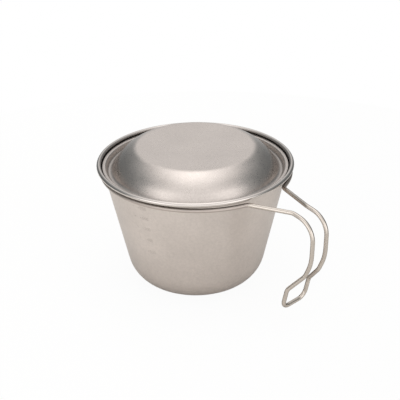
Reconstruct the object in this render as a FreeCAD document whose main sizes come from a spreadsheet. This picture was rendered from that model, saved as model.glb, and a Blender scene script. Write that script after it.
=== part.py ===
"""A small camping cook pot with a wire handle and a dish that serves as its lid.

Three pieces, each in its own file:
  pot_body     one drawn cup of sheet metal, with a ledge at its mouth and its edge curled outwards
  handle_wire  one round wire, bent into a ring under the ledge, two legs and an end loop
  lid_dish     one pressed dish that sits upside down on the ledge

Frame: millimetres, +Z up, +X along the handle, origin at the centre of the pot's base.
"""
import FreeCAD, Part

import math
import os

import Sketcher

# Driving sizes. Lengths are in millimetres and angles in degrees.
SIZES = [
    # alias, value
    ("rim_diameter", 140.0),         # over the curled edge
    ("pot_height", 92.0),            # base to the top of the curl
    ("base_corner_radius", 44.75),   # where the wall's line would meet the base
    ("base_bend", 24.9),             # outside radius of the bend from base to wall
    ("wall_taper", 13.15),           # from the vertical
    ("sheet", 0.6),                  # metal thickness of the pot and the dish
    ("ledge_slope", 45.0),           # from the vertical, above the tapered wall
    ("neck_height", 1.25),           # upright metal between the ledge and the middle of the curl
    ("curl_diameter", 3.2),          # outside of the rolled edge
    ("curl_turn", 285.0),            # how far round the edge is rolled
    ("wire_diameter", 3.0),
    ("wire_play", 0.02),             # between the ring and the wall
    ("ring_drop", 4.7),              # ring below the middle of the curl
    ("ring_ease", 3.5),              # extra radius of the ring on the handle's side
    ("ring_joint", 0.4),             # gap between the wire's two ends, opposite the handle
    ("leave_angle", 20.0),           # where each leg leaves the ring, either side of +X
    ("leave_bend", 5.0),             # centreline radius of that bend
    ("leg_spread", 7.2),             # half the spacing of the parallel legs
    ("loop_spread", 11.5),           # half the width of the end loop
    ("lid_diameter", 132.6),
    ("lid_play", 0.05),              # between the lid's edge and the ledge
    ("lid_crown_corner", 42.55),     # where the crown's plane would meet the shoulder
    ("lid_crown_rise", 13.8),        # crown above the flange
    ("lid_crown_bend", 8.0),
    ("lid_shoulder_corner", 51.5),   # where the shoulder's gentle and steep slopes would meet
    ("lid_shoulder_drop", 4.36),     # that meeting below the crown
    ("lid_shoulder_bend", 25.0),
    ("lid_foot_corner", 59.0),       # where the shoulder would meet the channel's floor
    ("lid_foot_bend", 3.0),
    ("lid_channel_corner", 61.9),    # outer end of the channel's floor
    ("lid_channel_drop", 3.5),       # channel's floor below the flange
    ("lid_flange_corner", 63.7),     # where the flange begins
    ("lid_small_bend", 1.2),         # the two bends between channel and flange
]

# Bends of one handle leg, from the ring outwards: distance from the pot's axis, height above
# the base and centreline radius. The first four are in the parallel stretch of the legs and
# the last two in the wider end loop. The knee is level with the ring: the wire leaves the ring
# in the ring's own plane, so a change to ring_drop, pot_height or curl_diameter moves both.
LEG_BENDS = [
    ("knee", 96.9, 85.7, 8.0),
    ("shoulder", 115.0, 81.8, 15.0),
    ("belly", 113.7, 53.2, 33.0),
    ("waist", 108.4, 41.7, 8.0),
    ("hip", 96.6, 28.7, 8.0),
    ("toe", 92.6, 12.9, 6.2),
]
LOOP_BENDS = ("hip", "toe")
LEVEL_TOLERANCE = 0.001

# Curl, neck and ledge, written for expressions bound to the sheet.
CURL_X = "Sizes.rim_diameter / 2 - Sizes.curl_diameter / 2"
CURL_Z = "Sizes.pot_height - Sizes.curl_diameter / 2"
CURL_INSIDE = "(Sizes.curl_diameter / 2 - Sizes.sheet)"
NECK_OUTSIDE = "(%s - %s)" % (CURL_X, CURL_INSIDE)
LEDGE_TOP = "(%s - Sizes.neck_height)" % CURL_Z
LEDGE = "Sizes.ledge_slope * 1 deg"
TAPER = "Sizes.wall_taper * 1 deg"

# The base bend takes this much off the flat base, which would otherwise reach the wall's line.
BASE_FLAT = "Sizes.base_corner_radius - Sizes.base_bend * tan(45 deg - Sizes.wall_taper * 0.5 deg)"

# Sketch geometry names: the origin point and the two axes.
ORIGIN = (-1, 1)
VERTICAL_AXIS = -2
START, END, CENTRE = 1, 2, 3


def make_sheet(doc):
    """Fill the spreadsheet with the driving sizes, one alias a row."""
    sheet = doc.addObject("Spreadsheet::Sheet", "Sizes")
    rows = list(SIZES)
    for name, reach, height, bend in LEG_BENDS:
        rows.append((name + "_reach", reach))
        rows.append((name + "_height", height))
        rows.append((name + "_bend", bend))
    for row, (alias, value) in enumerate(rows, start=1):
        sheet.set("A%d" % row, alias)
        sheet.set("B%d" % row, str(value))
        sheet.setAlias("B%d" % row, alias)
    doc.recompute()
    return sheet


def origin_plane(body, role):
    """Return the body's own origin plane with this role, such as XZ_Plane."""
    return next(item for item in body.Origin.OriginFeatures if item.Role == role)


def new_sketch(body, name):
    """Start a sketch on the body's XZ plane: its x is the radius and its y the height."""
    sketch = body.newObject("Sketcher::SketchObject", name)
    sketch.AttachmentSupport = [(origin_plane(body, "XZ_Plane"), "")]
    sketch.MapMode = "FlatFace"
    return sketch


def bind(sketch, kind, items, expression):
    """Add a dimension to the sketch and bind it to an expression on the sheet."""
    value = sketch.evalExpression(expression)
    number = float(getattr(value, "Value", value))
    if kind == "Angle":
        number = math.radians(number)
    index = sketch.addConstraint(Sketcher.Constraint(kind, *items, number))
    sketch.setExpression("Constraints[%d]" % index, expression)


def place(sketch, geometry, point, across, up):
    """Fix a point's distance from the axis and its height."""
    bind(sketch, "DistanceX", (*ORIGIN, geometry, point), across)
    bind(sketch, "DistanceY", (*ORIGIN, geometry, point), up)


def closed_outline(sketch, corners):
    """Draw a closed chain of lines through rough corners, joined end to end."""
    vectors = [FreeCAD.Vector(across, up, 0) for across, up in corners]
    lines = []
    for first, second in zip(vectors, vectors[1:] + vectors[:1]):
        lines.append(sketch.addGeometry(Part.LineSegment(first, second), False))
    for first, second in zip(lines, lines[1:] + lines[:1]):
        sketch.addConstraint(Sketcher.Constraint("Coincident", first, END, second, START))
    return lines


def revolve(body, name, sketch):
    """Turn a sketch all the way round the vertical axis."""
    feature = body.newObject("PartDesign::Revolution", name)
    feature.Profile = sketch
    feature.ReferenceAxis = (sketch, ["V_Axis"])
    feature.Angle = 360.0
    body.Document.recompute()
    return feature


def edge_at(feature, radius, height):
    """Name the round edge of a feature at this distance from the axis and this height."""
    def miss(edge):
        point = edge.valueAt(edge.FirstParameter)
        return math.hypot(math.hypot(point.x, point.y) - radius, point.z - height)

    edges = feature.Shape.Edges
    closest = min(range(len(edges)), key=lambda index: miss(edges[index]))
    return "Edge%d" % (closest + 1)


def round_edge(body, name, base, radius, height, expression):
    """Round one edge of the base feature to the bound radius."""
    fillet = body.newObject("PartDesign::Fillet", name)
    fillet.Base = (base, [edge_at(base, radius, height)])
    fillet.setExpression("Radius", expression)
    body.Document.recompute()
    return fillet


def hollow(body, name, base, open_faces):
    """Leave only a skin of sheet metal inside the base's faces, open where stated."""
    shell = body.newObject("PartDesign::Thickness", name)
    shell.Base = (base, open_faces)
    shell.setExpression("Value", "Sizes.sheet")
    shell.Reversed = True
    shell.Mode = "Skin"
    shell.Join = "Intersection"
    body.Document.recompute()
    return shell


def faces_where(feature, test):
    """Name the faces of a feature that pass the test."""
    faces = feature.Shape.Faces
    return ["Face%d" % (index + 1) for index, face in enumerate(faces) if test(face)]


def draw_pot_line(doc):
    """Outer side of the cup's metal: base, base bend, tapered wall, ledge, neck and curl."""
    sketch = doc.addObject("Sketcher::SketchObject", "pot_line")
    upright = FreeCAD.Rotation(FreeCAD.Vector(1, 0, 0), 90)
    sketch.Placement = FreeCAD.Placement(FreeCAD.Vector(0, 0, 0), upright)

    def line(start, end):
        ends = [FreeCAD.Vector(*point, 0) for point in (start, end)]
        return sketch.addGeometry(Part.LineSegment(*ends), False)

    def arc(centre, radius, start, end):
        circle = Part.Circle(FreeCAD.Vector(*centre, 0), FreeCAD.Vector(0, 0, 1), radius)
        rough = Part.ArcOfCircle(circle, math.radians(start), math.radians(end))
        return sketch.addGeometry(rough, False)

    # Rough places only: the constraints below set the real ones.
    base = line((0, 0), (25, 0))
    bend = arc((25, 25), 25, -90, -13)
    wall = line((49, 19), (65, 87))
    ledge = line((65, 87), (67, 89))
    neck = line((67, 89), (67, 90))
    curl = arc((68, 90), 1.0, -105, 180)

    sketch.addConstraint(Sketcher.Constraint("Coincident", base, START, *ORIGIN))
    sketch.addConstraint(Sketcher.Constraint("Horizontal", base))
    sketch.addConstraint(Sketcher.Constraint("Tangent", base, END, bend, START))
    sketch.addConstraint(Sketcher.Constraint("Tangent", bend, END, wall, START))
    sketch.addConstraint(Sketcher.Constraint("Coincident", wall, END, ledge, START))
    sketch.addConstraint(Sketcher.Constraint("Coincident", ledge, END, neck, START))
    sketch.addConstraint(Sketcher.Constraint("Vertical", neck))
    sketch.addConstraint(Sketcher.Constraint("Tangent", neck, END, curl, END))
    bind(sketch, "DistanceX", (*ORIGIN, base, END), BASE_FLAT)
    bind(sketch, "Radius", (bend,), "Sizes.base_bend")
    bind(sketch, "Angle", (wall,), "90 deg - " + TAPER)
    bind(sketch, "Angle", (ledge,), "90 deg - " + LEDGE)
    bind(sketch, "DistanceY", (*ORIGIN, neck, START), LEDGE_TOP)
    bind(sketch, "Radius", (curl,), CURL_INSIDE)
    bind(sketch, "Angle", (curl,), "Sizes.curl_turn * 1 deg")
    place(sketch, curl, CENTRE, CURL_X, CURL_Z)
    return sketch


def make_pot_body(doc):
    """The cup: its line is thickened inwards to sheet metal and revolved."""
    skin = doc.addObject("Part::Offset2D", "pot_skin")
    skin.Source = draw_pot_line(doc)
    skin.Mode = "Skin"
    skin.Join = "Intersection"
    skin.Fill = True
    skin.setExpression("Value", "Sizes.sheet")
    cup = doc.addObject("Part::Revolution", "pot_body")
    cup.Source = skin
    cup.Axis = FreeCAD.Vector(0, 0, 1)
    cup.Angle = 360.0
    cup.Solid = True
    return cup


def draw_lid_outline(body):
    """Half outline of the dish upside down, with its flange's underside at height zero."""
    crown = "Sizes.sheet + Sizes.lid_crown_rise"
    floor = "Sizes.sheet - Sizes.lid_channel_drop"
    corners = [
        ("Sizes.lid_crown_corner", crown),
        ("Sizes.lid_shoulder_corner", crown + " - Sizes.lid_shoulder_drop"),
        ("Sizes.lid_foot_corner", floor),
        ("Sizes.lid_channel_corner", floor),
        ("Sizes.lid_flange_corner", "Sizes.sheet"),
        ("Sizes.lid_diameter / 2", "Sizes.sheet"),
        ("Sizes.lid_diameter / 2", floor + " - 2 * Sizes.sheet"),
    ]
    sketch = new_sketch(body, "lid_outline")
    rough = [(sketch.evalExpression(across), sketch.evalExpression(up)) for across, up in corners]
    lines = closed_outline(sketch, rough + [(0, rough[-1][1]), (0, rough[0][1])])
    for line, (across, up) in zip(lines, corners):
        place(sketch, line, START, across, up)
    underside, axis, top = lines[len(corners) - 1:]
    sketch.addConstraint(Sketcher.Constraint("Horizontal", underside))
    sketch.addConstraint(Sketcher.Constraint("PointOnObject", axis, START, VERTICAL_AXIS))
    sketch.addConstraint(Sketcher.Constraint("PointOnObject", axis, END, VERTICAL_AXIS))
    sketch.addConstraint(Sketcher.Constraint("Horizontal", top))
    return sketch


def make_lid_dish(doc, size):
    """The dish: revolved, its bends rounded, hollowed to sheet metal and set on the ledge."""
    body = doc.addObject("PartDesign::Body", "lid_dish")
    shape = revolve(body, "dish", draw_lid_outline(body))
    crown = size("sheet") + size("lid_crown_rise")
    shoulder = crown - size("lid_shoulder_drop")
    floor = size("sheet") - size("lid_channel_drop")
    bends = [
        ("crown_bend", size("lid_crown_corner"), crown, "Sizes.lid_crown_bend"),
        ("shoulder_bend", size("lid_shoulder_corner"), shoulder, "Sizes.lid_shoulder_bend"),
        ("foot_bend", size("lid_foot_corner"), floor, "Sizes.lid_foot_bend"),
        ("channel_bend", size("lid_channel_corner"), floor, "Sizes.lid_small_bend"),
        ("flange_bend", size("lid_flange_corner"), size("sheet"), "Sizes.lid_small_bend"),
    ]
    for name, radius, height, expression in bends:
        shape = round_edge(body, name, shape, radius, height, expression)
    below_channel = floor - size("sheet")

    def is_cut_away(face):
        return face.BoundBox.ZMin < below_channel

    hollow(body, "sheet_metal", shape, faces_where(shape, is_cut_away))
    under_edge = "(%s - Sizes.lid_diameter / 2) / tan(%s)" % (NECK_OUTSIDE, LEDGE)
    seat = "%s - %s + Sizes.sheet / sin(%s)" % (LEDGE_TOP, under_edge, LEDGE)
    body.setExpression(".Placement.Base.z", seat + " + Sizes.lid_play")
    return body


def arc_between(start, centre, end):
    """Arc from start to end about the centre, the short way round."""
    radius = (start - centre).Length
    towards_middle = (start + end) * 0.5 - centre
    middle = centre + towards_middle.normalize() * radius
    return Part.Arc(start, middle, end).toShape()


def bent_stretch(points, bends):
    """Straight lengths through the points, with a bend of stated radius at each inner one."""
    edges = []
    here = points[0]
    for before, corner, after, radius in zip(points, points[1:], points[2:], bends):
        back = (before - corner).normalize()
        ahead = (after - corner).normalize()
        half_angle = back.getAngle(ahead) / 2
        trim = radius / math.tan(half_angle)
        bend_start = corner + back * trim
        bend_end = corner + ahead * trim
        bisector = (back + ahead).normalize()
        centre = corner + bisector * (radius / math.sin(half_angle))
        edges.append(Part.makeLine(here, bend_start))
        edges.append(arc_between(bend_start, centre, bend_end))
        here = bend_end
    edges.append(Part.makeLine(here, points[-1]))
    return edges


def leg_path(size):
    """Centreline of the +Y half of the wire, from its end in the ring to the loop's middle."""
    curl_middle = size("pot_height") - size("curl_diameter") / 2
    height = curl_middle - size("ring_drop")
    if abs(size("knee_height") - height) > LEVEL_TOLERANCE:
        raise ValueError("the knee has to be level with the ring, at %.3f" % height)
    taper = math.radians(size("wall_taper"))
    wall = size("base_corner_radius") + height * math.tan(taper)
    ring = wall + (size("wire_diameter") / 2 + size("wire_play")) / math.cos(taper)
    ease = size("ring_ease")

    def on_tight(angle):
        return FreeCAD.Vector(ring * math.cos(angle), ring * math.sin(angle), height)

    def on_eased(angle, radius=ring + ease):
        return FreeCAD.Vector(radius * math.cos(angle), radius * math.sin(angle) - ease, height)

    # The back half of the ring hugs the wall; the front half eases away from it to the legs.
    leave = math.radians(size("leave_angle"))
    back = math.pi - size("ring_joint") / 2 / ring
    side = math.pi / 2
    tight = Part.Arc(on_tight(back), on_tight((back + side) / 2), on_tight(side)).toShape()
    last = on_eased(leave)
    eased = Part.Arc(on_tight(side), on_eased((side + leave) / 2), last).toShape()

    names = [name for name, reach, level, bend in LEG_BENDS]
    spreads = ["loop_spread" if name in LOOP_BENDS else "leg_spread" for name in names]
    points = [
        FreeCAD.Vector(size(name + "_reach"), size(spread), size(name + "_height"))
        for name, spread in zip(names, spreads)
    ]
    bends = [size(name + "_bend") for name in names]
    loop_middle = FreeCAD.Vector(points[-1].x, 0, points[-1].z)

    # The leg starts where a line from its knee touches the circle of the first bend.
    centre = on_eased(leave, ring + ease + size("leave_bend"))
    to_knee = points[0] - centre
    swing = math.acos(size("leave_bend") / to_knee.Length)
    direction = math.atan2(to_knee.y, to_knee.x) - swing
    touch = FreeCAD.Vector(math.cos(direction), math.sin(direction), 0) * size("leave_bend")
    leg_start = centre + touch
    leaving = arc_between(last, centre, leg_start)
    return [tight, eased, leaving] + bent_stretch([leg_start] + points + [loop_middle], bends)


def make_handle_wire(doc, size):
    """One round wire swept along the ring, the two legs and the end loop."""
    half = Part.Wire(leg_path(size))
    mirrored = half.mirror(FreeCAD.Vector(0, 0, 0), FreeCAD.Vector(0, 1, 0))
    path = doc.addObject("Part::Feature", "handle_path")
    path.Shape = Part.Wire(Part.__sortEdges__(half.Edges + mirrored.Edges))

    section = doc.addObject("Part::Circle", "wire_section")
    section.setExpression("Radius", "Sizes.wire_diameter / 2")
    first = path.Shape.OrderedEdges[0]
    along = first.tangentAt(first.FirstParameter)
    turn = FreeCAD.Rotation(FreeCAD.Vector(0, 0, 1), along)
    section.Placement = FreeCAD.Placement(first.valueAt(first.FirstParameter), turn)

    wire = doc.addObject("Part::Sweep", "handle_wire")
    wire.Sections = [section]
    wire.Spine = (path, ["Edge%d" % (index + 1) for index in range(len(path.Shape.Edges))])
    wire.Solid = True
    wire.Frenet = False
    return wire


def check_and_export(doc, pieces):
    """Stop if anything failed; otherwise write one STEP file for each piece."""
    doc.recompute()
    for item in doc.Objects:
        if "Invalid" in item.State or "Error" in item.State:
            raise RuntimeError("%s failed: %s" % (item.Label, item.State))
    os.makedirs("parts", exist_ok=True)
    for piece in pieces:
        shape = piece.Shape
        if shape.isNull() or not shape.isValid() or len(shape.Solids) != 1:
            raise RuntimeError("%s is not one valid solid" % piece.Label)
        shape.exportStep("parts/%s.step" % piece.Label)
        box = shape.BoundBox
        print("%-12s volume %9.1f mm3, z %.2f to %.2f" % (piece.Label, shape.Volume, box.ZMin, box.ZMax))


def main():
    doc = FreeCAD.newDocument("cook_pot")
    sheet = make_sheet(doc)

    def size(alias):
        return float(sheet.get(alias))

    pieces = [make_pot_body(doc), make_handle_wire(doc, size), make_lid_dish(doc, size)]
    check_and_export(doc, pieces)


main()
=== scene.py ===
"""Looks of the camping cook pot: refined sheet-metal and wire meshes, materials, stage and camera.

Everything is in metres, in the frame of the CAD model: +Z up, +X along the handle, origin at
the centre of the pot's base.
"""

import math

import bmesh
import bpy
from mathutils import Matrix, Vector


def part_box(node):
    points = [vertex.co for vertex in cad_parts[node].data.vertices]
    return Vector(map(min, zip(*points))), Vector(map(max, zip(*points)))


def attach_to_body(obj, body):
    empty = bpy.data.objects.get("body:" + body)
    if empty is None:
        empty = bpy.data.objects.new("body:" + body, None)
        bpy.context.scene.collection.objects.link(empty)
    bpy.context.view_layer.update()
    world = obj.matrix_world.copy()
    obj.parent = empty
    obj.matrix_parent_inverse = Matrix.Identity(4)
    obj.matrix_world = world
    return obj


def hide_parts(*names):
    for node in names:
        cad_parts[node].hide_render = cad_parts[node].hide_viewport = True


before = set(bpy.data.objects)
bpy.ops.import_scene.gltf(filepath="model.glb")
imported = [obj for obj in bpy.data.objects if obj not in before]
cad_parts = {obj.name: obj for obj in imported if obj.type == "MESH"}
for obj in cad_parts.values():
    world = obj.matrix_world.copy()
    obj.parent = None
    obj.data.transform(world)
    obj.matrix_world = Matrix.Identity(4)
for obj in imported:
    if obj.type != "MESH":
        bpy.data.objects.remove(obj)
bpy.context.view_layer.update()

MM = 0.001
MILLILITRE = 1e-6
UP = Vector((0, 0, 1))
pot_low, pot_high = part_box("pot_body")
lid_low, lid_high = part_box("lid_dish")

# Sheet metal of the pot: tapered wall, ledge, upright neck and rolled edge. The base corner is
# where the wall's line would meet the base, and the ledge has a bend at each end.
SHEET = 0.6 * MM
WALL_TAPER = math.radians(13.15)
LEDGE_SLOPE = math.radians(45)
NECK_HEIGHT = 1.25 * MM
CURL_RADIUS = 1.6 * MM
CURL_TURN = math.radians(285)
CURL_CENTRE = Vector((pot_high.x - CURL_RADIUS, pot_high.z - CURL_RADIUS))
NECK_RADIUS = CURL_CENTRE.x - (CURL_RADIUS - SHEET)
LEDGE_TOP = CURL_CENTRE.y - NECK_HEIGHT
BASE_CORNER = 44.75 * MM
BASE_BEND = 24.9 * MM
LEDGE_BENDS = (1.5 * MM, 0.6 * MM)

# Wire: the ring hugs the back of the wall, eases away from its front, and the legs leave it.
WIRE_RADIUS = 1.5 * MM
WIRE_PLAY = 0.02 * MM
RING_HEIGHT = CURL_CENTRE.y - 4.7 * MM
RING_RADIUS = (BASE_CORNER + RING_HEIGHT * math.tan(WALL_TAPER)
               + (WIRE_RADIUS + WIRE_PLAY) / math.cos(WALL_TAPER))
RING_EASE = 3.5 * MM
RING_GAP = 0.2 * MM
LEAVE_ANGLE = math.radians(20)
LEAVE_BEND = 5.0 * MM
LEG_SPREAD = 7.2 * MM
LOOP_SPREAD = 11.5 * MM
# Each bend of a leg: reach from the pot's axis, half spacing, height and centreline radius.
LEG_BENDS = [
    (96.9 * MM, LEG_SPREAD, RING_HEIGHT, 8.0 * MM),
    (115.0 * MM, LEG_SPREAD, 81.8 * MM, 15.0 * MM),
    (113.7 * MM, LEG_SPREAD, 53.2 * MM, 33.0 * MM),
    (108.4 * MM, LEG_SPREAD, 41.7 * MM, 8.0 * MM),
    (96.6 * MM, LOOP_SPREAD, 28.7 * MM, 8.0 * MM),
    (92.6 * MM, LOOP_SPREAD, 12.9 * MM, 6.2 * MM),
]

# Dish: corners and bends of its upper face, from the crown out to the flange.
CROWN_TOP = lid_high.z
CHANNEL_FLOOR = lid_low.z + SHEET
FLANGE_TOP = CHANNEL_FLOOR + 3.5 * MM
LID_RADIUS = 66.3 * MM
LID_CORNERS = [
    (42.55 * MM, CROWN_TOP, 8.0 * MM),
    (51.5 * MM, CROWN_TOP - 4.36 * MM, 25.0 * MM),
    (59.0 * MM, CHANNEL_FLOOR, 3.0 * MM),
    (61.9 * MM, CHANNEL_FLOOR, 1.2 * MM),
    (63.7 * MM, FLANGE_TOP, 1.2 * MM),
]

# Volume marks etched on the wall: millilitres, place round the pot, size and proudness. Points
# closer than the weld distance are joined, and volumes are added up in slices of the fill step.
MARKS = (300, 400, 500, 600, 700)
MARK_AZIMUTH = math.radians(-86)
MARK_HEIGHT = 3.6 * MM
TICK_LENGTH = 6.0 * MM
TICK_WIDTH = 0.5 * MM
MARK_DEPTH = 0.05 * MM
WELD_DISTANCE = 0.001 * MM
FILL_STEP = 0.1 * MM

# Mesh fineness: steps round the pot, round half a ring, along bends, along straight lengths,
# beside their ends, round a sheet's edge and round the wire, whose ends are rounded by a share
# of its radius. Points closer to the axis than the last value lie on it.
ROUND_STEPS = 288
RING_STEPS = 75
ARC_STEP = math.radians(7)
LONG_STEP = 2.0 * MM
EDGE_SUPPORT = 0.25 * MM
EDGE_STEPS = 6
WIRE_SIDES = 28
WIRE_END_ROUNDING = 0.12
ON_AXIS = 1e-7

# Tints of the metals, of the table top and of plain white.
SHEET_TINT = (0.645, 0.583, 0.543)
EDGE_TINT = (0.63, 0.58, 0.545)
MARK_TINT = (0.565, 0.51, 0.475)
# The ring's tint is painted darker than the wire's: painted shade under the rolled edge.
RING_PAINTED_SHADE_TINT = (0.50, 0.44, 0.40)
WIRE_TINT = (0.60, 0.54, 0.485)
FLOOR_TINT = (0.93, 0.915, 0.885)
WHITE = (1, 1, 1, 1)

# Size of one feature of each kind of unevenness in the metal, and the depth of those with relief.
COARSE_GRAIN = 0.9 * MM
FINE_GRAIN = 0.4 * MM
FLECK = 2.2 * MM
SMUDGE = 9 * MM
PATCH = 30 * MM
DRAW_MARK = 0.7 * MM
COARSE_DEPTH = 0.045 * MM
FINE_DEPTH = 0.02 * MM
DRAW_DEPTH = 0.02 * MM

# How far full grain or wear moves the tint and the roughness.
GRAIN_IN_TINT = 0.06
GRAIN_IN_ROUGHNESS = 0.12
WEAR_IN_TINT = 0.4

# Share of the light that the sheet and the wire still reflect at a glancing angle.
GLANCE = 0.88
WIRE_GLANCE = 0.45

# Painted shade in closed-in places, where shadow falls: how far a surface looks for others, and for
# each kind of place the darkest value, the openness at which it is reached and the openness that
# counts as open.
PAINTED_SHADE_REACH = 4.0 * MM
OPEN_PAINTED_SHADE = (0.85, 0.1, 0.5)
# The seam's darkest value is black: painted shade for the gap between lid and rim.
SEAM_PAINTED_SHADE = (0.0, 0.58, 0.98)
LID_PAINTED_SHADE = (0.05, 0.36, 0.95)
WIRE_PAINTED_SHADE = (0.4, 0.3, 0.98)
SHADE_SAMPLES = 12

# Finishes of the pot and of the wire, as material slots of their meshes; the seam's finish and the
# ring's carry painted shade. The pot's seam with the lid starts this far below the ledge's top.
WALL_ZONE, EDGE_ZONE, SEAM_ZONE = 0, 1, 2
LEG_ZONE, RING_ZONE = 0, 1
SEAM_DEPTH = 2.8 * MM

# Table top, just clear of the base. Its colour is painted lighter on the left and darker on the right
# as the camera sees it (painted light falloff), and darker where the pot closes it in (painted
# shadow).
FLOOR_RADIUS = 0.36
FLOOR_STEPS = 96
FLOOR_DROP = 0.05 * MM
FLOOR_MOTTLE = 17 * MM
FLOOR_MOTTLE_LIGHT = 0.985
FLOOR_LEFT, FLOOR_RIGHT = -60 * MM, 120 * MM
FLOOR_LEFT_LIGHT, FLOOR_RIGHT_LIGHT = 1.03, 0.9
FLOOR_SHADE = 0.72
FLOOR_SHADE_REACH = 60 * MM
FLOOR_CLOSED, FLOOR_OPEN = 0.35, 0.95
FLOOR_GLOW = 1.1
DIFFUSE_WHEN_REFLECTED = 0.85
DIFFUSE_WHEN_SEEN = 0.05

# Studio light, as seen in reflections, where 1 is white: the room, a glow overhead and a tall
# window behind the pot, which fades in between two steps of how far a direction points away.
ROOM = 0.2
OVERHEAD = 1.35
OVERHEAD_FOCUS = 4.0
WINDOW = 0.62
WINDOW_WIDTH = 0.29
WINDOW_START, WINDOW_FULL = -0.05, 0.4
# Soft lamps: direction from the pot (to the camera's right, away from it, up), focus and strength.
LAMPS = [
    (0.0, -0.75, 0.66, 5.0, 0.2),
    (0.0, -1.0, 0.0, 5.0, 1.2),
    (0.74, -0.64, 0.2, 14.0, 1.9),
    (-0.74, -0.64, 0.2, 14.0, 1.9),
]
# Dim parts of the room are a little cooler than bright ones.
DIM_TONE = (0.92, 1.0, 1.03, 1)
DIM_LIGHT, BRIGHT_LIGHT = 0.2, 0.8

# Camera: azimuth 0 looks along +Y and 90 along -X.
CAMERA_AZIMUTH = math.radians(44.0)
CAMERA_ELEVATION = math.radians(26.24)
CAMERA_ROLL = math.radians(0.71)
CAMERA_DISTANCE = 1.025
CAMERA_LENS = 128.44
SENSOR_WIDTH = 36
AIM_RIGHT = 3.0 * MM
AIM_HEIGHT = 60.6 * MM


# ---------------------------------------------------------------- profiles and meshes

def straight(start, end):
    """Points from start to end, close together at both ends so that shading stays flat."""
    length = (end - start).length
    along = (end - start).normalized()
    places = [0.0]
    if length > 4 * EDGE_SUPPORT:
        inner = length - 2 * EDGE_SUPPORT
        steps = max(1, round(inner / LONG_STEP))
        places += [EDGE_SUPPORT + inner * i / steps for i in range(steps + 1)]
    places.append(length)
    return [start + along * place for place in places]


def bend_at(before, corner, after, radius):
    """Points round a bend of this radius at the corner, from one tangent point to the other."""
    back = (before - corner).normalized()
    ahead = (after - corner).normalized()
    half = back.angle(ahead) / 2
    trim = radius / math.tan(half)
    start, end = corner + back * trim, corner + ahead * trim
    centre = corner + (back + ahead).normalized() * (radius / math.sin(half))
    turn = math.pi - 2 * half
    steps = max(2, math.ceil(turn / ARC_STEP))
    first = (start - centre).normalized()
    across = (end - centre) - first * (end - centre).dot(first)
    across.normalize()
    points = []
    for i in range(steps + 1):
        angle = turn * i / steps
        points.append(centre + (first * math.cos(angle) + across * math.sin(angle)) * radius)
    return points


def bent_line(corners, bends):
    """Straight lengths through the corners, with a bend of stated radius at each inner one."""
    points = []
    here = corners[0]
    for before, corner, after, radius in zip(corners, corners[1:], corners[2:], bends):
        arc = bend_at(before, corner, after, radius)
        points += straight(here, arc[0])[:-1] + arc[:-1]
        here = arc[-1]
    return points + straight(here, corners[-1])


def left_normals(points):
    """Unit normals to the left of travel along a line in the plane."""
    normals = []
    for i, point in enumerate(points):
        before = points[max(i - 1, 0)]
        after = points[min(i + 1, len(points) - 1)]
        arriving = (point - before).normalized() if i else (after - point).normalized()
        leaving = (after - point).normalized() if i + 1 < len(points) else arriving
        along = (arriving + leaving).normalized()
        normals.append(Vector((-along.y, along.x)))
    return normals


def round_end(first, last):
    """Half circle from first to last, bulging to the right of the way from last to first."""
    centre = (first + last) / 2
    spoke = first - centre
    points = []
    for i in range(1, EDGE_STEPS):
        turn = Matrix.Rotation(math.pi * i / EDGE_STEPS, 2)
        points.append(centre + turn @ spoke)
    return points


def thicken(points, thickness):
    """Close a line into a sheet: the line, a rounded end, and the line's left side back."""
    normals = left_normals(points)
    other = [point + normal * thickness for point, normal in zip(points, normals)]
    return points + round_end(points[-1], other[-1]) + other[::-1]


def finished_piece(name, mesh):
    """Turn a bmesh into a smooth-shaded object in the scene."""
    bmesh.ops.recalc_face_normals(mesh, faces=mesh.faces)
    for face in mesh.faces:
        face.smooth = True
    data = bpy.data.meshes.new(name)
    mesh.to_mesh(data)
    mesh.free()
    piece = bpy.data.objects.new(name, data)
    bpy.context.scene.collection.objects.link(piece)
    return piece


def lathe(name, outline):
    """Spin an open outline, which starts and ends on the axis, into a closed mesh."""
    mesh = bmesh.new()
    rings = []
    for point in outline:
        if point.x < ON_AXIS:
            rings.append([mesh.verts.new((0, 0, point.y))])
            continue
        ring = []
        for i in range(ROUND_STEPS):
            angle = 2 * math.pi * i / ROUND_STEPS
            x, y = point.x * math.cos(angle), point.x * math.sin(angle)
            ring.append(mesh.verts.new((x, y, point.y)))
        rings.append(ring)
    for lower, upper in zip(rings, rings[1:]):
        for i in range(ROUND_STEPS):
            j = (i + 1) % ROUND_STEPS
            if len(lower) == 1:
                mesh.faces.new((lower[0], upper[j], upper[i]))
            elif len(upper) == 1:
                mesh.faces.new((lower[i], lower[j], upper[0]))
            else:
                mesh.faces.new((lower[i], lower[j], upper[j], upper[i]))
    return finished_piece(name, mesh)


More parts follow.
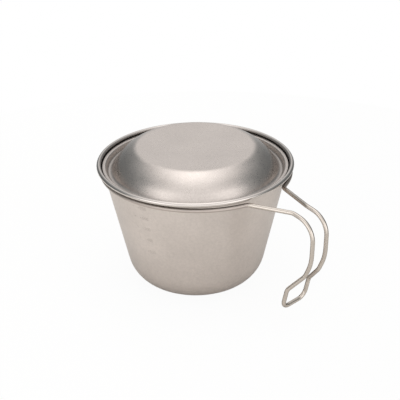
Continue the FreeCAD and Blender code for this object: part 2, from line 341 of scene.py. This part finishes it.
def tube(name, path, radius):
    """Round wire along a path of points, with slightly rounded ends."""
    tangents = []
    for i in range(len(path)):
        before, after = path[max(i - 1, 0)], path[min(i + 1, len(path) - 1)]
        tangents.append((after - before).normalized())
    rounding = WIRE_END_ROUNDING * radius
    stations = [(path[0], tangents[0], radius - rounding),
                (path[0] + tangents[0] * rounding, tangents[0], radius)]
    stations += [(point, tangent, radius) for point, tangent in zip(path[1:-1], tangents[1:-1])]
    stations += [(path[-1] - tangents[-1] * rounding, tangents[-1], radius),
                 (path[-1], tangents[-1], radius - rounding)]

    mesh = bmesh.new()
    rings = []
    side = UP
    for centre, tangent, width in stations:
        side = (side - tangent * side.dot(tangent)).normalized()
        other = tangent.cross(side)
        ring = []
        for i in range(WIRE_SIDES):
            angle = 2 * math.pi * i / WIRE_SIDES
            spoke = side * math.cos(angle) + other * math.sin(angle)
            ring.append(mesh.verts.new(centre + spoke * width))
        rings.append(ring)
    for lower, upper in zip(rings, rings[1:]):
        for i in range(WIRE_SIDES):
            j = (i + 1) % WIRE_SIDES
            mesh.faces.new((lower[i], lower[j], upper[j], upper[i]))
    mesh.faces.new(rings[0][::-1])
    mesh.faces.new(rings[-1])
    return finished_piece(name, mesh)


# ---------------------------------------------------------------- shapes of the pieces

def pot_outline():
    """Section of the cup's sheet metal, from the axis out, up the wall, round the curl and back."""
    wall_slope, ledge_slope = math.tan(WALL_TAPER), math.tan(LEDGE_SLOPE)
    # Height at which the wall's line meets the ledge's line.
    ledge_foot = (NECK_RADIUS - BASE_CORNER - LEDGE_TOP * ledge_slope) / (wall_slope - ledge_slope)
    corners = [
        Vector((0, pot_low.z)),
        Vector((BASE_CORNER, pot_low.z)),
        Vector((wall_radius(ledge_foot), ledge_foot)),
        Vector((NECK_RADIUS, LEDGE_TOP)),
        Vector((NECK_RADIUS, CURL_CENTRE.y)),
    ]
    line = bent_line(corners, [BASE_BEND, *LEDGE_BENDS])
    steps = math.ceil(CURL_TURN / ARC_STEP)
    for i in range(1, steps + 1):
        angle = math.pi - CURL_TURN * i / steps
        spoke = Vector((math.cos(angle), math.sin(angle)))
        line.append(CURL_CENTRE + spoke * (CURL_RADIUS - SHEET))
    return thicken(line, SHEET)


def pot_zone(face):
    """Which of the cup's three finishes a face has: wall, rolled edge or seam round the lid, painted
    black with painted shade.
    """
    outward = face.center.x * face.normal.x + face.center.y * face.normal.y
    within_neck = math.hypot(face.center.x, face.center.y) < NECK_RADIUS - SHEET / 2
    if outward < 0 and within_neck and face.center.z > LEDGE_TOP - SEAM_DEPTH:
        return SEAM_ZONE
    return EDGE_ZONE if face.center.z > LEDGE_TOP else WALL_ZONE


def lid_outline():
    """Section of the dish's sheet metal, from the axis over the crown to the flange and back."""
    corners = [Vector((radius, height)) for radius, height, _ in LID_CORNERS]
    bends = [bend for *_, bend in LID_CORNERS]
    edge = Vector((LID_RADIUS - SHEET / 2, FLANGE_TOP))
    line = bent_line([Vector((0, CROWN_TOP)), *corners, edge], bends)
    return thicken(line, -SHEET)


def on_ring(angle, radius, shift=0.0):
    """Point at an angle on a circle level with the ring, whose centre may be off the axis."""
    return Vector((radius * math.cos(angle), radius * math.sin(angle) - shift, RING_HEIGHT))


def wire_path():
    """Centreline of the wire, from one end behind the pot, round, down a leg, and back."""
    corners = [Vector((reach, spread, height)) for reach, spread, height, _ in LEG_BENDS]
    bends = [bend for *_, bend in LEG_BENDS]
    loop_middle = Vector((corners[-1].x, 0, corners[-1].z))

    # Ring: from its butt gap to the side it hugs the wall, and from there it eases away.
    eased_radius = RING_RADIUS + RING_EASE
    back, side = math.pi - RING_GAP / RING_RADIUS, math.pi / 2
    half = []
    for i in range(RING_STEPS):
        half.append(on_ring(back + (side - back) * i / RING_STEPS, RING_RADIUS))
    for i in range(RING_STEPS + 1):
        angle = side + (LEAVE_ANGLE - side) * i / RING_STEPS
        half.append(on_ring(angle, eased_radius, RING_EASE))

    # First bend of the leg: it ends where a line from the knee touches its circle.
    centre = on_ring(LEAVE_ANGLE, eased_radius + LEAVE_BEND, RING_EASE)
    to_knee = corners[0] - centre
    touch = math.atan2(to_knee.y, to_knee.x) - math.acos(LEAVE_BEND / to_knee.length)
    start = LEAVE_ANGLE + math.pi
    turn = touch + 2 * math.pi - start
    steps = math.ceil(turn / ARC_STEP)
    for i in range(1, steps + 1):
        angle = start + turn * i / steps
        half.append(centre + Vector((math.cos(angle), math.sin(angle), 0)) * LEAVE_BEND)

    half += bent_line([half[-1], *corners, loop_middle], bends)[1:]
    mirrored = [Vector((point.x, -point.y, point.z)) for point in half[-2::-1]]
    return half + mirrored


def wire_zone(face):
    """Which of the wire's two finishes a face has: legs and loop, or ring, whose darker tint is
    painted shade.
    """
    reach = math.hypot(face.center.x, face.center.y)
    return RING_ZONE if reach < RING_RADIUS + RING_EASE + WIRE_RADIUS / 2 else LEG_ZONE


def wall_radius(height):
    """Outside radius of the straight wall at a height above the base."""
    return BASE_CORNER + height * math.tan(WALL_TAPER)


def bend_radius(height):
    """Inside radius of the cup at a height within the bend between base and wall."""
    centre_radius = BASE_CORNER - BASE_BEND * math.tan((math.pi / 2 - WALL_TAPER) / 2)
    inner_bend = BASE_BEND - SHEET
    rise = BASE_BEND - height
    return centre_radius + math.sqrt(max(inner_bend ** 2 - rise ** 2, 0.0))


def fill_height(millilitres):
    """Height above the base up to which this much water fills the cup."""
    bend_top = BASE_BEND * (1 + math.sin(WALL_TAPER))
    height, volume = pot_low.z + SHEET, 0.0
    while volume < millilitres * MILLILITRE:
        radius = wall_radius(height) - SHEET / math.cos(WALL_TAPER)
        if height < bend_top:
            radius = min(radius, bend_radius(height))
        volume += math.pi * radius ** 2 * FILL_STEP
        height += FILL_STEP
    return height


def flat_number(text):
    """Digits as a closed plate in the XY plane, to the right of the origin."""
    curve = bpy.data.curves.new("number", "FONT")
    curve.body = text
    curve.size = MARK_HEIGHT
    curve.align_y = "CENTER"
    curve.extrude = MARK_DEPTH
    holder = bpy.data.objects.new("number", curve)
    plate = bpy.data.meshes.new_from_object(holder)
    bpy.data.objects.remove(holder)
    return plate


def mark_plates():
    """Ticks and numbers as thin plates wrapped onto the wall, each at its true level."""
    mesh = bmesh.new()
    for millilitres in MARKS:
        level = fill_height(millilitres)
        first = len(mesh.verts)
        size = (TICK_LENGTH, TICK_WIDTH, 2 * MARK_DEPTH, 1)
        bmesh.ops.create_cube(mesh, size=1.0, matrix=Matrix.Diagonal(size))
        plate = flat_number(str(millilitres))
        plate.transform(Matrix.Translation((TICK_LENGTH / 2 + TICK_WIDTH, 0, 0)))
        mesh.from_mesh(plate)
        mesh.verts.ensure_lookup_table()
        for vertex in mesh.verts[first:]:
            across, up, out = vertex.co
            height = level + up * math.cos(WALL_TAPER)
            radius = wall_radius(height) + out
            angle = MARK_AZIMUTH + across / radius
            vertex.co = (radius * math.cos(angle), radius * math.sin(angle), height)
    bmesh.ops.remove_doubles(mesh, verts=mesh.verts, dist=WELD_DISTANCE)
    return mesh


# ---------------------------------------------------------------- materials

class Nodes:
    """A small helper that adds and links the nodes of one material or world."""

    def __init__(self, holder):
        """Start an empty node tree on a material or world."""
        holder.use_nodes = True
        self.tree = holder.node_tree
        self.tree.nodes.clear()

    def add(self, kind, inputs=None, **settings):
        """Add a node: sockets are linked to their inputs, and plain values are set."""
        node = self.tree.nodes.new(kind)
        for name, value in settings.items():
            setattr(node, name, value)
        for name, value in (inputs or {}).items():
            if isinstance(value, bpy.types.NodeSocket):
                self.tree.links.new(value, node.inputs[name])
            else:
                node.inputs[name].default_value = value
        return node

    def place(self):
        """The point being shaded, in the object's own coordinates."""
        return self.add("ShaderNodeTexCoord").outputs["Object"]

    def noise(self, place, size, detail=2.0, roughness=0.5):
        """Noise between 0 and 1 whose features are about this size, in metres."""
        inputs = {"Vector": place, "Scale": 1 / size, "Detail": detail, "Roughness": roughness}
        return self.add("ShaderNodeTexNoise", inputs).outputs["Fac"]

    def spread(self, value, low, high, from_low=0.3, from_high=0.7):
        """Map a value to a range; the default is to map the middle of a noise value."""
        inputs = {"Value": value, "From Min": from_low, "From Max": from_high,
                  "To Min": low, "To Max": high}
        return self.add("ShaderNodeMapRange", inputs).outputs["Result"]

    def vary(self, noise, amount):
        """A factor that strays from 1 by up to this amount as the noise does."""
        return self.spread(noise, 1 - amount, 1 + amount)

    def math(self, operation, first, second=0.0):
        """One arithmetic step on one or two values."""
        return self.add("ShaderNodeMath", {0: first, 1: second}, operation=operation).outputs[0]

    def product(self, first, *others):
        """Several values multiplied together."""
        for value in others:
            first = self.math("MULTIPLY", first, value)
        return first

    def along(self, direction, axis):
        """How far a direction or place goes along an axis."""
        inputs = {0: direction, 1: tuple(axis)}
        return self.add("ShaderNodeVectorMath", inputs, operation="DOT_PRODUCT").outputs["Value"]

    def shaded(self, tint, shade):
        """A tint made darker or lighter by a factor."""
        inputs = {0: tint, "Scale": shade}
        return self.add("ShaderNodeVectorMath", inputs, operation="SCALE").outputs["Vector"]

    def openness(self, reach):
        """1 in the open, and less where other surfaces are within reach."""
        inputs = {"Distance": reach}
        hidden = self.add("ShaderNodeAmbientOcclusion", inputs, samples=SHADE_SAMPLES)
        return hidden.outputs["AO"]

    def bump(self, height, strength, distance, normal=None):
        """Tilt the surface by a height value, on top of an earlier bump if there is one."""
        inputs = {"Height": height, "Strength": strength, "Distance": distance}
        if normal:
            inputs["Normal"] = normal
        return self.add("ShaderNodeBump", inputs).outputs["Normal"]

    def mix(self, factor, first, second):
        """Blend two shaders: all of the first at 0 and all of the second at 1."""
        inputs = {0: factor, 1: first, 2: second}
        return self.add("ShaderNodeMixShader", inputs).outputs[0]

    def is_seen(self):
        """1 for what the camera sees directly, and 0 for reflections and lighting."""
        return self.add("ShaderNodeLightPath").outputs["Is Camera Ray"]


def metal(name, tint, roughness, grain, wear, painted_shade, mottle=0.0, draw_marks=0.0, glance=GLANCE):
    """Satin metal: blasted grain, drawing marks, handling patches, painted shade in corners, a warm
    tint.

    grain and wear are the strengths of blasting and handling, painted_shade is the darkest value of
    the shade painted into closed-in places and the range of openness over which it fades, mottle is
    how much the tint varies over a couple of millimetres, draw_marks is the strength of marks that
    run round the axis, and glance is the share of the light that is still reflected at a glancing
    angle.
    """
    material = bpy.data.materials.new(name)
    nodes = Nodes(material)
    place = nodes.place()
    coarse = nodes.noise(place, COARSE_GRAIN, detail=2.0, roughness=0.6)
    fine = nodes.noise(place, FINE_GRAIN, detail=2.0, roughness=0.6)
    flecks = nodes.noise(place, FLECK, detail=3.0, roughness=0.7)
    smudges = nodes.noise(place, SMUDGE, detail=4.0, roughness=0.65)
    patches = nodes.noise(place, PATCH, detail=3.0)

    darkest, closed, open_from = painted_shade
    # Painted shade: the tint darkens where other surfaces are near, where shadow falls.
    painted_darkening = nodes.spread(nodes.openness(PAINTED_SHADE_REACH), darkest, 1.0, closed, open_from)
    shade = nodes.product(nodes.vary(patches, wear * WEAR_IN_TINT),
                          nodes.vary(coarse, grain * GRAIN_IN_TINT),
                          nodes.vary(flecks, mottle),
                          painted_darkening)
    rough = nodes.product(nodes.vary(smudges, wear),
                          nodes.vary(coarse, grain * GRAIN_IN_ROUGHNESS),
                          roughness)

    normal = nodes.bump(coarse, grain, COARSE_DEPTH)
    normal = nodes.bump(fine, grain, FINE_DEPTH, normal)
    if draw_marks:
        height = nodes.add("ShaderNodeSeparateXYZ", {"Vector": place}).outputs["Z"]
        level = nodes.add("ShaderNodeCombineXYZ", {"Z": height}).outputs["Vector"]
        normal = nodes.bump(nodes.noise(level, DRAW_MARK, detail=3.0), draw_marks, DRAW_DEPTH, normal)

    surface = nodes.add("ShaderNodeBsdfPrincipled", {
        "Base Color": nodes.shaded(tint, shade),
        "Metallic": 1.0,
        "Roughness": rough,
        "Specular Tint": (glance, glance, glance, 1),
        "Normal": normal,
    })
    nodes.add("ShaderNodeOutputMaterial", {"Surface": surface.outputs["BSDF"]})
    return material


def satin_pot():
    """Blasted sheet of the pot's wall, with faint marks of its drawing round it."""
    return metal("satin_pot", SHEET_TINT, roughness=0.36, grain=0.5, wear=0.1, painted_shade=OPEN_PAINTED_SHADE,
                 mottle=0.05, draw_marks=0.25)


def rolled_edge():
    """The pot's edge, brighter and smoother where the roller has pressed it."""
    return metal("rolled_edge", EDGE_TINT, roughness=0.16, grain=0.1, wear=0.15, painted_shade=OPEN_PAINTED_SHADE)


def seam():
    """Inside of the neck and ledge, which the lid nearly closes off; painted shade turns it black
    where it is closed in.
    """
    return metal("seam", SHEET_TINT, roughness=0.36, grain=0.2, wear=0.1, painted_shade=SEAM_PAINTED_SHADE)


def etched_marks():
    """Matt, slightly darker metal of the volume marks."""
    return metal("etched_marks", MARK_TINT, roughness=0.5, grain=0.5, wear=0.2, painted_shade=OPEN_PAINTED_SHADE)


def drawn_wire():
    """Smooth, slightly yellower metal of the wire."""
    return metal("drawn_wire", WIRE_TINT, roughness=0.25, grain=0.03, wear=0.15, painted_shade=WIRE_PAINTED_SHADE,
                 glance=WIRE_GLANCE)


def satin_ring():
    """The wire's ring, blasted dull together with the pot, its tint painted darker than the legs' as
    painted shade from the rolled edge above it.
    """
    return metal("satin_ring", RING_PAINTED_SHADE_TINT, roughness=0.45, grain=0.3, wear=0.1, painted_shade=WIRE_PAINTED_SHADE)


def satin_lid():
    """Blasted sheet of the dish, a little shinier than the pot's."""
    return metal("satin_lid", SHEET_TINT, roughness=0.30, grain=1.0, wear=0.12, painted_shade=LID_PAINTED_SHADE,
                 mottle=0.04)


# ---------------------------------------------------------------- pieces

def attach(piece, body, slot, *nodes):
    """Tie a piece to a body, in place of these CAD nodes; the slot is not used."""
    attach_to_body(piece, body)
    if nodes:
        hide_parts(*nodes)


def make_pot():
    """The cup, with its three finishes."""
    pot = lathe("pot_shell", pot_outline())
    for material in (satin_pot(), rolled_edge(), seam()):
        pot.data.materials.append(material)
    for face in pot.data.polygons:
        face.material_index = pot_zone(face)
    attach(pot, "pot", "satin_sheet", "pot_body")


def make_marks():
    """The volume marks on the cup's wall."""
    marks = finished_piece("volume_marks", mark_plates())
    marks.data.materials.append(etched_marks())
    attach(marks, "pot", "satin_sheet")


def make_wire():
    """The wire of ring and handle, with its two finishes."""
    wire = tube("wire_rod", wire_path(), WIRE_RADIUS)
    for material in (drawn_wire(), satin_ring()):
        wire.data.materials.append(material)
    for face in wire.data.polygons:
        face.material_index = wire_zone(face)
    attach(wire, "pot", "wire", "handle_wire")


def make_lid():
    """The dish that serves as the lid."""
    lid = lathe("lid_shell", lid_outline())
    lid.data.materials.append(satin_lid())
    attach(lid, "lid", "lid_sheet", "lid_dish")


# ---------------------------------------------------------------- stage, light and camera

def view_axes():
    """Unit vectors of the camera: to its right, level away from it, and back towards it."""
    right = Vector((math.cos(CAMERA_AZIMUTH), math.sin(CAMERA_AZIMUTH), 0))
    away = Vector((-math.sin(CAMERA_AZIMUTH), math.cos(CAMERA_AZIMUTH), 0))
    back = UP * math.sin(CAMERA_ELEVATION) - away * math.cos(CAMERA_ELEVATION)
    return right, away, back


def make_camera():
    """Camera at the wanted angle, level apart from a slight roll."""
    right, away, back = view_axes()
    data = bpy.data.cameras.new("camera")
    data.sensor_width = SENSOR_WIDTH
    data.lens = CAMERA_LENS
    camera = bpy.data.objects.new("camera", data)
    bpy.context.scene.collection.objects.link(camera)
    level = Matrix((right, back.cross(right), back)).transposed()
    turned = level @ Matrix.Rotation(-CAMERA_ROLL, 3, "Z")
    aim = right * AIM_RIGHT + UP * AIM_HEIGHT
    camera.matrix_world = Matrix.Translation(aim + back * CAMERA_DISTANCE) @ turned.to_4x4()
    bpy.context.scene.camera = camera


def table_top():
    """Pale surface. Seen directly it is nearly white; what it lights and reflects is warmer, with a
    painted glow that carries its painted falloff and shadow.
    """
    material = bpy.data.materials.new("pale_floor")
    nodes = Nodes(material)
    place = nodes.place()
    right, away, back = view_axes()
    # Painted light and shadow: the tone is lighter on the left, darker on the right, and darker round
    # the pot.
    painted_falloff = nodes.spread(nodes.along(place, right), FLOOR_LEFT_LIGHT, FLOOR_RIGHT_LIGHT,
                           FLOOR_LEFT, FLOOR_RIGHT)
    painted_contact_shadow = nodes.spread(nodes.openness(FLOOR_SHADE_REACH), FLOOR_SHADE, 1.0,
                           FLOOR_CLOSED, FLOOR_OPEN)
    mottle = nodes.spread(nodes.noise(place, FLOOR_MOTTLE, detail=3.0), FLOOR_MOTTLE_LIGHT, 1.0)
    tone = nodes.shaded(FLOOR_TINT, nodes.product(painted_falloff, painted_contact_shadow, mottle))

    diffuse = nodes.add("ShaderNodeBsdfDiffuse", {"Color": tone}).outputs[0]
    # Painted light: the floor glows in reflections and in the light it throws, though no lamp is
    # there.
    glow = nodes.add("ShaderNodeEmission", {"Color": tone, "Strength": FLOOR_GLOW}).outputs[0]
    white = nodes.add("ShaderNodeEmission", {"Color": WHITE, "Strength": 1.0}).outputs[0]
    reflected = nodes.mix(DIFFUSE_WHEN_REFLECTED, glow, diffuse)
    seen = nodes.mix(DIFFUSE_WHEN_SEEN, white, diffuse)
    nodes.add("ShaderNodeOutputMaterial", {"Surface": nodes.mix(nodes.is_seen(), reflected, seen)})
    return material


def make_floor():
    """Round table top under the pot."""
    mesh = bmesh.new()
    bmesh.ops.create_circle(mesh, cap_ends=True, segments=FLOOR_STEPS, radius=FLOOR_RADIUS)
    floor = finished_piece("floor", mesh)
    floor.location.z = -FLOOR_DROP
    floor.data.materials.append(table_top())


def lobe(nodes, direction, centre, focus):
    """Soft glow round a direction; a focus of 14 makes it about 20 degrees in radius."""
    facing = nodes.along(direction, centre.normalized())
    return nodes.math("EXPONENT", nodes.product(nodes.math("SUBTRACT", facing, 1.0), focus))


def make_world():
    """Studio surround: dim at table level, bright overhead, a tall window behind, soft lamps.

    The camera sees plain white instead.
    """
    world = bpy.data.worlds.new("studio")
    bpy.context.scene.world = world
    nodes = Nodes(world)
    right, away, back = view_axes()
    direction = nodes.add("ShaderNodeTexCoord").outputs["Generated"]

    rising = nodes.math("MAXIMUM", nodes.along(direction, UP), 0.0)
    overhead = nodes.product(nodes.math("POWER", rising, OVERHEAD_FOCUS), OVERHEAD)
    across = nodes.math("DIVIDE", nodes.along(direction, right), WINDOW_WIDTH)
    within = nodes.math("EXPONENT", nodes.product(nodes.math("POWER", across, 2.0), -1.0))
    behind = nodes.spread(nodes.along(direction, away), 0.0, WINDOW, WINDOW_START, WINDOW_FULL)
    light = nodes.math("ADD", overhead, ROOM)
    light = nodes.math("ADD", light, nodes.product(within, behind))
    for to_right, to_back, to_top, focus, strength in LAMPS:
        centre = right * to_right + away * to_back + UP * to_top
        lamp = nodes.product(lobe(nodes, direction, centre, focus), strength)
        light = nodes.math("ADD", light, lamp)

    bright = nodes.spread(light, 0.0, 1.0, DIM_LIGHT, BRIGHT_LIGHT)
    tone = nodes.add("ShaderNodeMix", {"Factor": bright, "A": DIM_TONE, "B": WHITE}, data_type="RGBA")
    studio = nodes.add("ShaderNodeBackground", {"Color": tone.outputs["Result"], "Strength": light})
    white = nodes.add("ShaderNodeBackground", {"Color": WHITE, "Strength": 1.0})
    both = nodes.mix(nodes.is_seen(), studio.outputs[0], white.outputs[0])
    nodes.add("ShaderNodeOutputWorld", {"Surface": both})


# ---------------------------------------------------------------- put together

make_pot()
make_marks()
make_wire()
make_lid()
make_floor()
make_world()
make_camera()
bpy.context.scene.view_settings.view_transform = "Standard"
